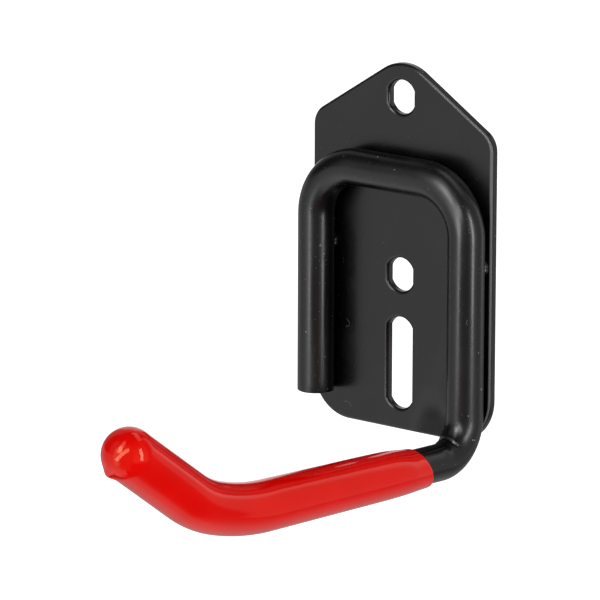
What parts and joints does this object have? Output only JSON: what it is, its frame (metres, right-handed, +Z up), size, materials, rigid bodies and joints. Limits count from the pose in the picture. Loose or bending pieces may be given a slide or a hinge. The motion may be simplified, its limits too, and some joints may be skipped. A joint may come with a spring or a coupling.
{
  "type": "garage utility hook",
  "caption": "Wall hook: a bent steel tube welded to a pointed steel plate, with a dipped vinyl sleeve over its upturned arm, for hanging tools and hoses.",
  "frame": {"origin": "On the wall plate's back face, on its centre line, midway between its two screw holes", "axes": "+Y into the wall, square to the plate's back face; +Z up; +X to the right seen from the front. The arm stands out along -Y."},
  "size_m": [0.0642, 0.1486, 0.1078],
  "materials": {
    "black_powder_coat": "satin black powder coat on steel",
    "red_vinyl": "glossy red dipped vinyl"
  },
  "bodies": {
    "root": {"wall_plate": "black_powder_coat", "hook_tube": "black_powder_coat", "weld_beads": "black_powder_coat", "grip_sleeve": "red_vinyl"}
  },
  "joints": []
}
